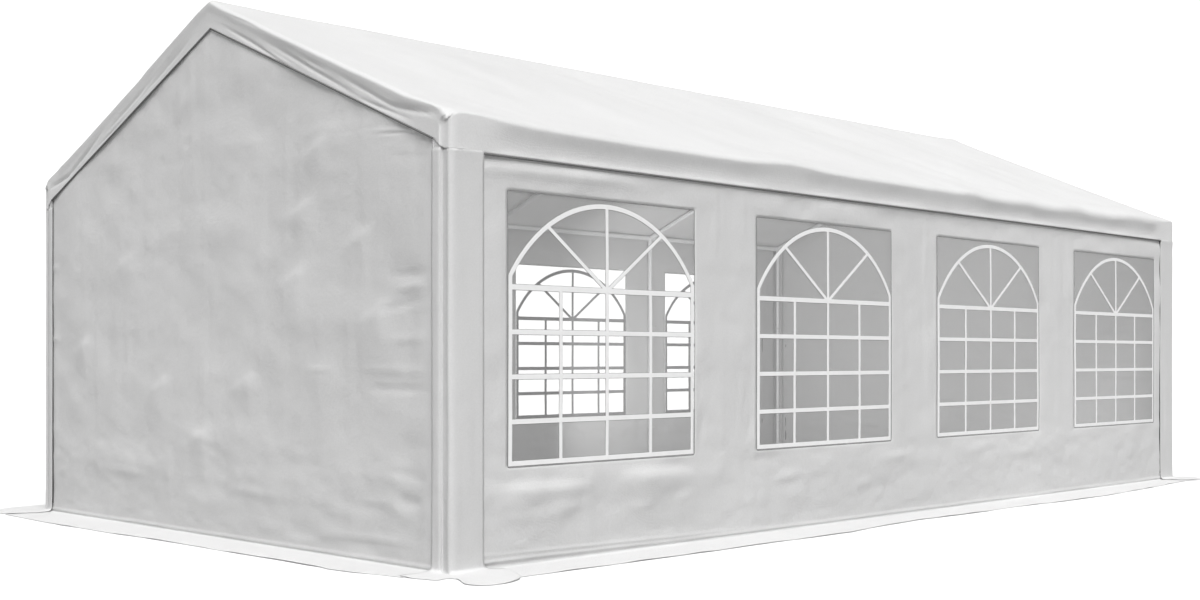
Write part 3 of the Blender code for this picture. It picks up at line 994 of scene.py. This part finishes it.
def shade_cords():
    """Dark cords of painted shade under the valance's hem and beside the sleeves' edges."""
    hems, edges, pale = [], [], []
    for side in (-1, 1):
        y = side * (HALF_WIDTH + HEM_CORD_OUT)
        z = HEM_HEIGHT - 0.004
        low = -HALF_LENGTH + SLEEVE_LONG[-1] - 0.004
        high = HALF_LENGTH - SLEEVE_LONG[1] + 0.004
        hems.append([(low, y, z), (0.0, y, z), (high, y, z)])
        y = side * (HALF_WIDTH + EDGE_CORD_OUT)
        for end in (-1, 1):
            x = end * (HALF_LENGTH - SLEEVE_LONG[end] + 0.006)
            cords = pale if end < 0 else edges
            cords.append([(x, y, z), (x, y, EDGE_CORD_FOOT)])
    width = HALF_WIDTH - SLEEVE_GABLE + 0.004
    for end in (-1, 1):
        for side in (-1, 1):
            x = end * (HALF_LENGTH + GABLE_CORD_OUT)
            places = np.linspace(0.0, 1.0, 9) * width
            hems.append([(x, side * y, gable_line(y, end) - GABLE_DROP - 0.003) for y in places])
            x = end * (HALF_LENGTH + EDGE_CORD_OUT)
            y = side * (width + 0.002)
            cords = pale if end < 0 and side < 0 else edges
            cords.append([(x, y, hems[-1][-1][2]), (x, y, EDGE_CORD_FOOT)])
    for name, paths, radius, finish, slot in (
        ("hem_shade_cord", hems, 0.0054, SHADE_CORD, "roof_fabric"),
        ("sleeve_shade_cord", edges, 0.0055, SHADE_CORD, "wall_fabric"),
        ("sleeve_shade_cord_pale", pale, 0.005, PALE_SHADE_CORD, "wall_fabric"),
    ):
        piece = rod(name, paths, radius, finish)


# The sleeves' section round the corner: out from the gable, out from the long wall
SLEEVE_CORNER = [
    (SLEEVE_PROUD, -0.058), (0.01, -0.0562), (-0.003, -0.0545), (-0.0045, -0.051), (-0.003, -0.036),
    (0.0, -0.022), (0.003, -0.0105), (0.0018, -0.001), (-0.0065, 0.007), (-0.021, 0.0124),
    (-0.046, SLEEVE_PROUD), (-0.075, SLEEVE_PROUD),
]

# The near flap's edge on the ground, and the other flaps', from the gable round to the long wall
NEAR_FLAP = [
    (0.212, -0.112), (0.205, -0.04), (0.185, 0.03), (0.16, 0.095), (0.085, 0.085), (0.075, 0.15),
    (0.13, 0.235), (0.147, 0.29), (0.118, 0.35), (0.042, 0.38), (-0.073, 0.365), (-0.175, 0.3),
    (-0.267, 0.16), (-0.3, 0.05),
]
ROUND_FLAP = [
    (0.12, -0.13), (0.24, -0.08), (0.31, 0.01), (0.29, 0.13), (0.23, 0.225), (0.14, 0.29),
    (0.02, 0.315), (-0.11, 0.29), (-0.22, 0.21), (-0.29, 0.09),
]


def sleeve_plan(end):
    """The section of a sleeve, as distances out from the gable and from the long wall."""
    plan = [(SLEEVE_PROUD, -value) for value in lines([0.075, SLEEVE_GABLE], 0.012)[::-1]]
    plan += [tuple(point) for point in curve(SLEEVE_CORNER, 3)]
    plan += [(-value, SLEEVE_PROUD) for value in lines([0.09, SLEEVE_LONG[end]], 0.015)]
    plan = np.array(plan)
    if end > 0:
        plan[:, 0] = np.where(plan[:, 0] > 0, plan[:, 0] * 0.6, plan[:, 0])
    return plan


def flap_goal(plan, part, corner, near, end):
    """Where each point of the section leads to on the flap's edge."""
    outline = np.array(NEAR_FLAP if near else ROUND_FLAP)
    if end > 0:
        outline = outline * 0.7 + np.array((0.0, 0.02))
    edge = curve(outline, 6)
    knots = [0.0, part[corner], 1.0]
    shares = [0.0, 0.46, 1.0]
    if near:
        strip_end = np.argmin(np.abs(plan[:, 1] + 0.058))
        groove = np.argmin(np.abs(plan[:, 1] + 0.04))
        long_start = np.argmin(np.abs(plan[:, 0] + 0.046))
        knots = [0.0, part[strip_end], part[groove], part[corner], part[long_start], 1.0]
        shares = np.array([0.0, 2.2, 4.0, 5.2, 8.0, 13.0]) / 13
    spread = np.interp(part, knots, shares)
    steps = np.linspace(0.0, 1.0, len(edge))
    return np.stack([np.interp(spread, steps, edge[:, axis]) for axis in (0, 1)], axis=1)


def sleeve(node, end, side):
    """The strip round a corner leg, which spreads at its foot into a rounded flap on the ground."""
    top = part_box(node)[1].z
    plan = sleeve_plan(end)
    walk = np.concatenate([[0.0], np.cumsum(np.linalg.norm(np.diff(plan, axis=0), axis=1))])
    part = walk / walk[-1]
    corner = np.argmax(plan[:, 0] + plan[:, 1])
    goal = flap_goal(plan, part, corner, end < 0 and side < 0, end)
    reach = np.linalg.norm(goal - plan, axis=1)
    direction = unit(goal - plan)
    bend = np.minimum(0.02, 0.5 * reach)
    outwards = np.stack([part < part[corner], part >= part[corner]], axis=1).astype(float)
    ground = -lines([0.0, 0.15, 1.0], 0.06)[:0:-1]
    hem = [HEM_HEIGHT + step * 0.006 for step in range(-5, 4)]
    q = np.concatenate([ground, lines([0.0, 0.12], 0.01), lines([0.12, *hem, top], 0.045)[1:]])
    seed = 700 + 10 * end + side
    # The sleeve swells a little under the valance's hem, most of all on the round of the corner
    tuck = 0.0008 + 0.003 * smooth(0.0, 0.02, -plan[:, 0]) * (plan[:, 1] > 0)
    ridge = 0.0024 * bell(plan[:, 0], -0.024, 0.014) * (plan[:, 1] > 0)
    rows = []
    for value in q:
        distance = value * reach if value < 0 else np.full(len(part), value)
        out, z = foot_curve(distance, bend)
        below = HEM_HEIGHT - 0.007 - value
        wobble = 0.0022 * lattice(part * 0.4, max(value, 0.0), 0.05, 0.45, seed)
        wobble = wobble * (1 - smooth(1.75, 1.95, value))
        wobble = wobble + tuck * bell(below, 0.0, 0.04 if below > 0 else 0.008)
        wobble = wobble + ridge * bell(value, HEM_HEIGHT - 0.01, 0.006)
        wobble = wobble - 0.005 * smooth(HEM_HEIGHT - 0.003, HEM_HEIGHT + 0.008, value)
        ripple = 0.004 * (0.5 + 0.5 * lattice(part, value, 0.12, 0.5, seed + 1)) * smooth(0.05, 0.3, out)
        place = plan + out[:, None] * direction + wobble[:, None] * outwards
        # It lies on the skirts beside the corner and on the ground in front of it
        over = 1 - smooth(-0.09, -0.02, np.minimum(place[:, 0], place[:, 1]))
        x = end * (HALF_LENGTH + place[:, 0])
        y = side * (HALF_WIDTH + place[:, 1])
        rows.append(np.stack([x, y, z + 0.003 + 0.0045 * over + ripple], axis=1))
    inner = Vector((end * (HALF_LENGTH - 0.3), side * (HALF_WIDTH - 0.3), 0.0))
    piece = cloth_piece(
        node + "_cloth",
        [np.array(rows)],
        WALL_CLOTH,
        lambda place: Vector((place.x - inner.x, place.y - inner.y, 0.2)),
    )
    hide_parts(node)


# The straps: radius of the loop round a leg, heights, half length and distance behind the leg
LOOP_RADIUS = 0.0215
STRAP_LEVELS = (0.36, 1.33)
STRAP_REACH = 0.055
STRAP_OUT = 0.024


def ties():
    """The straps that tie the walls to the legs."""
    straps = []
    turns = [2 * math.pi * step / 12 for step in range(13)]
    for side in (-1, 1):
        y = side * LEG_Y
        for x in LEG_X:
            loop = [(x + LOOP_RADIUS * math.cos(turn), y + LOOP_RADIUS * math.sin(turn)) for turn in turns]
            left = 0.0 if x == LEG_X[0] else STRAP_REACH
            right = 0.0 if x == LEG_X[-1] else STRAP_REACH
            for level in STRAP_LEVELS:
                straps.append([(*point, level) for point in loop])
                straps.append([
                    (x - left, y - side * STRAP_OUT, level - 0.004),
                    (x, y - side * (STRAP_OUT + 0.0005), level),
                    (x + right, y - side * STRAP_OUT, level - 0.003),
                ])
    piece = rod("tie_straps", straps, 0.0045, TIE)


def steel():
    """The frame keeps its solids and gets its finish."""
    for node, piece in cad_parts.items():
        if node.startswith(("leg_", "roof_frame_", "eave_purlin_", "ridge_purlin_")):
            for place in piece.material_slots:
                place.link = "OBJECT"
                place.material = STEEL


def lamps_and_sky():
    """Soft light: a pale sky, one wide key lamp and two lamps in the room that the windows show."""
    world = bpy.data.worlds.new("studio")
    bpy.context.scene.world = world
    m = Nodes(world, "Background", "World Output", "Generated")
    m.fill(m.shader, {"Color": m.ramp(m.split()["Z"], grey(0.35), grey(1.0), 0.0, 0.9), "Strength": 0.6})
    white = m.add("ShaderNodeBackground", {"Color": (1.0, 1.0, 1.0, 1.0), "Strength": 1.25})
    m.blend(m.seen(), m.shader, white)
    for name, place, turn, width, power in (
        ("room_fill", (-1.1, 0.12 - HALF_WIDTH, 0.95), (82, 0, 0), 5.4, 24.0),
        ("room_fill_end", (0.8, 0.0, 0.95), (86, 0, -90), 3.4, 34.0),
    ):
        fill = bpy.data.lights.new(name, "AREA")
        fill.shape = "RECTANGLE"
        fill.size = width
        fill.size_y = 1.3
        fill.energy = power
        lamp = add_object(name, fill)
        lamp.location = place
        lamp.rotation_euler = [math.radians(angle) for angle in turn]
        lamp.visible_camera = False
    sun = bpy.data.lights.new("soft_key", "SUN")
    sun.energy = 3.39
    sun.angle = math.radians(38)
    lamp = add_object("soft_key", sun)
    lamp.rotation_euler = Vector((-0.388, -0.476, 0.79)).to_track_quat("Z", "Y").to_euler()


# The camera model fitted to the photograph, in pixels of the photograph, metres and degrees
PHOTO_SIZE = (1200, 600)
FOCAL = 1487.0
PRINCIPAL = (504.2, 358.0)
STANDPOINT = (-4.636 - HALF_LENGTH, -5.254 - HALF_WIDTH, 1.0225)
HEADING = 46.468


def camera():
    """The camera at the photograph's angle."""
    data = bpy.data.cameras.new("photo_camera")
    data.sensor_width = 36.0
    data.lens = FOCAL / PHOTO_SIZE[0] * data.sensor_width
    data.shift_x = (PHOTO_SIZE[0] / 2 - PRINCIPAL[0]) / PHOTO_SIZE[0]
    data.shift_y = (PRINCIPAL[1] - PHOTO_SIZE[1] / 2) / PHOTO_SIZE[0]
    data.clip_end = 1000.0
    made = add_object("photo_camera", data)
    made.location = STANDPOINT
    made.rotation_euler = (math.pi / 2, 0.0, math.radians(HEADING - 90.0))
    bpy.context.scene.camera = made
    bpy.context.scene.view_settings.view_transform = "Standard"


roof()
long_wall("front_wall", -1)
long_wall("back_wall", 1)
gable_wall("left_gable_wall", -1)
gable_wall("right_gable_wall", 1)
for end, end_name in ((-1, "left"), (1, "right")):
    for side, side_name in ((-1, "front"), (1, "back")):
        sleeve(f"corner_sleeve_{side_name}_{end_name}", end, side)
shade_cords()
ties()
steel()

bpy.ops.mesh.primitive_plane_add(size=400.0)
floor = bpy.context.object
floor.name = "studio_floor"
floor.data.materials.append(floor_material())
lamps_and_sky()
camera()
